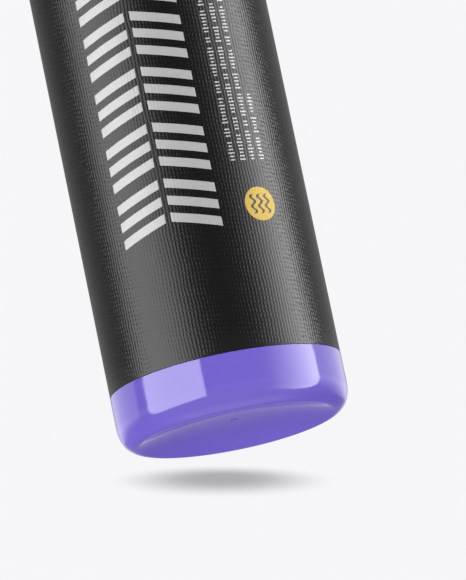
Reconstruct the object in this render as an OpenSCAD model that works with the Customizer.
// Squeeze tube that stands on its screw cap: z = 0 is the standing face, +Z runs up the tube
// to the welded end, and the weld runs along X. Millimetres.

/* [Tube] */
// Outer diameter of the round part of the sleeve
tube_d = 50; // [46:0.5:60]
// Length of the sleeve that stays round, from the seam with the cap
round_l = 92; // [60:1:120]
// Length over which the sleeve flattens towards the weld
taper_l = 76; // [60:1:100]
// Thickness of the laminate
wall = 0.5; // [0.4:0.05:0.6]
// Height of the welded band
weld_h = 7; // [5:0.5:10]
// How softly the flattening starts, from sudden to gradual
taper_soft = 0.5; // [0.2:0.05:0.8]
// Height of the contents above the end of the round part
fill_above = 18; // [5:1:40]

/* [Head] */
// Outer radius of the neck under its thread
neck_r = 8; // [7.5:0.1:9]
// Radius of the mouth
mouth_r = 4; // [3:0.1:5]
// Thickness of the shoulder
head_t = 1.2; // [1:0.05:1.4]
// Drop of the shoulder from the seam to the neck
shoulder_drop = 1.45; // [1.2:0.05:1.6]
// Pitch of the thread
pitch = 2.5; // [2.3:0.1:2.6]
// Height of the thread ridge above the neck
ridge_h = 0.9; // [0.7:0.05:0.9]

/* [Cap] */
// Height of the cap
cap_h = 12.2; // [12:0.1:14]
// Radius of the rounded bottom edge
corner_r = 5.9; // [5:0.1:6.2]
// Thickness of the side wall
cap_wall = 1.6; // [1.4:0.05:1.8]
// Depth of the dished underside
dish_h = 2.9; // [2:0.1:2.9]
// Width of the flat ring that the tube stands on
foot_w = 0.9; // [0.6:0.1:1.5]
// Gap between the cap's rim and the sleeve
seam_gap = 0.15; // [0.1:0.05:0.3]

/* [Hidden] */

$fn = 128;
sides = 96;              // points round each section of the flattening part
rings = 18;              // sections along the flattening part
ridge_steps = 48;        // steps in one turn of a thread ridge

tube_r = tube_d / 2;
bore_r = tube_r - wall;
seam_z = cap_h + seam_gap;
flat_z = seam_z + round_l;
weld_z = flat_z + taper_l;
weld_t = 2 * wall;
weld_side = 0.2;         // how far the welded band stands out past the flattened sleeve
weld_face = 0.02;
slit = 0.1;              // half-gap left between the two walls where the weld starts
join = 0.02;             // step that keeps the facets' edges off the round part's edges

skirt_t = 1.2;           // skirt of the head, inside the sleeve
skirt_h = 3.2;
seat_r = tube_r - cap_wall;
seat_w = 0.4;
neck_z = seam_z - shoulder_drop;
slope = shoulder_drop / (seat_r - seat_w - neck_r);
mouth_flare = 1.5;
lining_t = 0.4;

floor_t = 1.1;           // cap shell at the middle of the dish
disc_t = 0.6;            // closed end of the threaded insert
liner_t = 0.7;
foil_t = 0.1;
tab_t = 0.08;
touch = 0.06;            // gap between stacked pieces of the closure
disc_z = dish_h + floor_t + touch;
liner_z = disc_z + disc_t + touch;
tab_z = liner_z + liner_t + 0.1;
tip_z = tab_z + tab_t + foil_t;

thread_play = 0.25;      // radial gap between crest and root
thread_start = 1.6;      // from the neck's tip to the middle of its ridge
socket_r = neck_r + ridge_h + thread_play;
ridge_w = 1.2;
crest_w = 0.6;
bury = 0.3;              // how deep a ridge is rooted in its wall
collar_t = 1.45;
collar_top = neck_z - 0.4;
deck_z = 8.4;
deck_t = 1;
ring_z = 6;
ring_t = 1.3;
press_gap = 0.05;

// Share of the flattening reached at share u of its length: starts gently, then runs straight.
function flatness(u) = u * u * (1 + taper_soft) / (u + taper_soft);

// Half the depth, along Y, of the sleeve's outer face at height z.
function half_depth(z) = tube_r - (tube_r - weld_t / 2) * flatness((z - flat_z) / taper_l);

// The sleeve is a sheet that doesn't stretch, so each section keeps the round part's girth.
function girth(a, b) = PI * (3 * (a + b) - sqrt((3 * a + b) * (a + 3 * b)));
function half_width(b, low = tube_r, high = PI * tube_r / 2, tries = 24) =
    let (mid = (low + high) / 2)
    tries == 0 ? mid
    : girth(mid, b) > 2 * PI * tube_r ? half_width(b, low, mid, tries - 1)
    : half_width(b, mid, high, tries - 1);

// One elliptical section at height z, moved inwards by inset.
function section(z, inset) =
    let (b = half_depth(z), a = half_width(b))
    [for (i = [0:sides - 1])
        let (t = 360 * i / sides)
        [(a - inset) * cos(t), max(b - inset, slit) * sin(t), z]];

// Side faces between ring j and ring j + 1 of a stack whose first point is number start.
function skin(j, start) = [for (i = [0:sides - 1])
    let (p = start + j * sides + i, q = start + j * sides + (i + 1) % sides)
    each [[p, p + sides, q], [q, p + sides, q + sides]]];

// Solid stack of sections from the end of the round part up to the height top.
module flattening(top, inset, count) {
    heights = [for (j = [0:count]) flat_z + (top - flat_z) * j / count];
    polyhedron(
        points = [for (z = heights) each section(z, inset)],
        faces = concat(
            [[for (i = [0:sides - 1]) i]],
            [for (j = [0:count - 1]) each skin(j, 0)],
            [[for (i = [sides - 1:-1:0]) count * sides + i]]));
}

// Open shell of the flattening part: an outer and an inner stack joined by a flat ring below.
module flattening_wall() {
    heights = [for (j = [0:rings]) flat_z + taper_l * j / rings];
    inner = (rings + 1) * sides;
    polyhedron(
        points = concat(
            [for (z = heights) each section(z, join)],
            [for (z = heights) each section(z, wall - 2 * join)]),
        faces = concat(
            [for (i = [0:sides - 1])
                let (k = (i + 1) % sides)
                each [[i, k, inner + i], [k, inner + k, inner + i]]],
            [for (j = [0:rings - 1]) each skin(j, 0)],
            [for (j = [0:rings - 1], f = skin(j, inner)) [f[0], f[2], f[1]]],
            [[for (i = [sides - 1:-1:0]) rings * sides + i]],
            [[for (i = [0:sides - 1]) inner + rings * sides + i]]));
}

// Right-hand thread ridge from height low to height high, fading out at both ends. It is rooted
// in the wall at root_r and reaches crest_r, inwards or outwards.
module ridge(root_r, crest_r, low, high) {
    steps = ceil((high - low) / pitch * ridge_steps);
    fade = ridge_steps / 8;
    out = sign(crest_r - root_r);
    buried_r = root_r - out * bury;
    function reach(k) = let (f = min(1, k / fade, (steps - k) / fade))
        root_r - out * bury / 2 + f * (crest_r - root_r + out * bury / 2);
    ring_points = [for (k = [0:steps])
        let (t = 360 * k / ridge_steps, z = low + pitch * k / ridge_steps)
        each [for (c = [[buried_r, -ridge_w / 2], [reach(k), -crest_w / 2],
                        [reach(k), crest_w / 2], [buried_r, ridge_w / 2]])
            [c[0] * cos(t), c[0] * sin(t), z + c[1]]]];
    turned = out > 0 ? [0, 2, 1] : [0, 1, 2];
    side_faces = [for (k = [0:steps - 1], c = [0:3])
        let (p = 4 * k + c, q = 4 * k + (c + 1) % 4)
        each [[p, p + 4, q], [q, p + 4, q + 4]]];
    end_faces = [[0, 1, 2], [0, 2, 3],
        [4 * steps, 4 * steps + 2, 4 * steps + 1], [4 * steps, 4 * steps + 3, 4 * steps + 2]];
    polyhedron(
        points = ring_points,
        faces = [for (f = concat(side_faces, end_faces)) [for (i = turned) f[i]]]);
}

// Height of the shoulder's inner face at radius r.
function shoulder_top(r) = seam_z + head_t - slope * (bore_r - skirt_t - r);

module sleeve() {
    color([0.07, 0.07, 0.075]) {
        translate([0, 0, seam_z]) difference() {
            cylinder(r = tube_r, h = round_l);
            translate([0, 0, -1]) cylinder(r = bore_r, h = round_l + 2);
        }
        flattening_wall();
        band = [half_width(weld_t / 2) + weld_side, weld_t / 2 + weld_face];
        translate([-band[0], -band[1], weld_z]) cube([2 * band[0], 2 * band[1], weld_h]);
    }
}

module head() {
    lip = 0.3;
    skirt_r = bore_r - skirt_t;
    funnel_r = mouth_r + mouth_flare;
    color([0.93, 0.93, 0.92]) {
        rotate_extrude() polygon([
            [mouth_r, tip_z],
            [neck_r - lip, tip_z],
            [neck_r, tip_z + lip],
            [neck_r, neck_z],
            [seat_r - seat_w, seam_z],
            [bore_r, seam_z],
            [bore_r, seam_z + skirt_h],
            [skirt_r, seam_z + skirt_h],
            [skirt_r, seam_z + head_t],
            [funnel_r, shoulder_top(funnel_r)],
            [mouth_r, shoulder_top(funnel_r) - mouth_flare * 0.7]]);
        ridge(neck_r, neck_r + ridge_h, tip_z + thread_start, neck_z - ridge_w / 2 - 0.1);
    }
}

module barrier_disc() {
    lift = 0.02;
    outer = bore_r - skirt_t - 0.1;
    inner = mouth_r + mouth_flare;
    color([0.80, 0.81, 0.83])
        rotate_extrude() polygon([
            [inner, shoulder_top(inner) + lift],
            [outer, shoulder_top(outer) + lift],
            [outer, shoulder_top(outer) + lift + lining_t],
            [inner, shoulder_top(inner) + lift + lining_t]]);
}

module foil_seal() {
    seal_r = neck_r - 0.4;
    tab_r = seal_r - 0.5;
    color([0.82, 0.82, 0.84]) {
        translate([0, 0, tip_z - foil_t]) cylinder(r = seal_r, h = foil_t);
        // Pull tab: a half disc, folded flat against the membrane
        translate([0, 0, tab_z]) linear_extrude(tab_t) intersection() {
            circle(r = tab_r);
            translate([-tab_r, 0]) square([2 * tab_r, tab_r]);
        }
    }
}

module cream() {
    clear = 0.1;
    bottom = lining_t + 0.1;
    inner = mouth_r + mouth_flare;
    outer = bore_r - skirt_t - clear;
    color([0.96, 0.96, 0.94]) {
        rotate_extrude() polygon([
            [0, shoulder_top(inner) + bottom],
            [inner, shoulder_top(inner) + bottom],
            [outer, shoulder_top(outer) + bottom],
            [outer, seam_z + skirt_h + clear],
            [bore_r - clear, seam_z + skirt_h + clear],
            [bore_r - clear, flat_z],
            [0, flat_z]]);
        flattening(flat_z + fill_above, wall + clear + join, 5);
    }
}

// Outline of the cap: straight side, large round bottom edge.
module cap_outline() {
    square([tube_r - corner_r, cap_h]);
    translate([0, corner_r]) square([tube_r, cap_h - corner_r]);
    translate([tube_r - corner_r, corner_r]) circle(r = corner_r);
}

module cap_shell() {
    edge = tube_r - corner_r;
    dish_r = edge - foot_w;
    gate_r = 0.75;
    gate_h = 0.25;
    color([0.44, 0.37, 0.82]) {
        rotate_extrude() difference() {
            cap_outline();
            // Dished underside
            polygon([[-1, -1], [dish_r, -1], [dish_r, 0], [gate_r, dish_h], [-1, dish_h]]);
            // Inside
            polygon([
                [-1, dish_h + floor_t], [gate_r, dish_h + floor_t],
                [dish_r, cap_wall], [edge, cap_wall],
                [edge, corner_r], [seat_r, corner_r],
                [seat_r, cap_h + 1], [-1, cap_h + 1]]);
            translate([edge, corner_r]) circle(r = corner_r - cap_wall);
            // Groove for the insert's snap bead
            polygon([
                [seat_r - 0.1, deck_z - 1.5], [seat_r + 0.28, deck_z - 1.15],
                [seat_r + 0.28, deck_z - 0.85], [seat_r - 0.1, deck_z - 0.5]]);
        }
        // Moulding mark in the middle of the dish
        translate([0, 0, dish_h - gate_h]) cylinder(r = gate_r, h = gate_h + 0.2);
    }
}

module cap_insert() {
    outer = seat_r - press_gap;
    inner = outer - ring_t;
    collar_r = socket_r + collar_t;
    edge = 0.25;
    color([0.90, 0.90, 0.92]) {
        rotate_extrude() polygon([
            [0, disc_z],
            [collar_r - edge, disc_z],
            [collar_r, disc_z + edge],
            [collar_r, deck_z],
            [inner, deck_z],
            [inner, ring_z],
            [outer, ring_z],
            [outer, deck_z - 1.35],
            [outer + 0.22, deck_z - 1.1],
            [outer + 0.22, deck_z - 0.9],
            [outer, deck_z - 0.65],
            [outer, deck_z + deck_t],
            [collar_r, deck_z + deck_t],
            [collar_r, collar_top - edge],
            [collar_r - edge, collar_top],
            [socket_r + edge, collar_top],
            [socket_r, collar_top - edge],
            [socket_r, disc_z + disc_t],
            [0, disc_z + disc_t]]);
        // The ridge lies half a pitch from the neck's, so the two threads are in mesh.
        start = tip_z + thread_start - pitch / 2;
        ridge(socket_r, socket_r - ridge_h, start, collar_top - ridge_w / 2 - edge);
    }
}

module cap_liner() {
    color([0.86, 0.86, 0.84])
        translate([0, 0, liner_z]) cylinder(r = socket_r - 0.45, h = liner_t);
}

sleeve();
head();
barrier_disc();
foil_seal();
cream();
cap_shell();
cap_insert();
cap_liner();
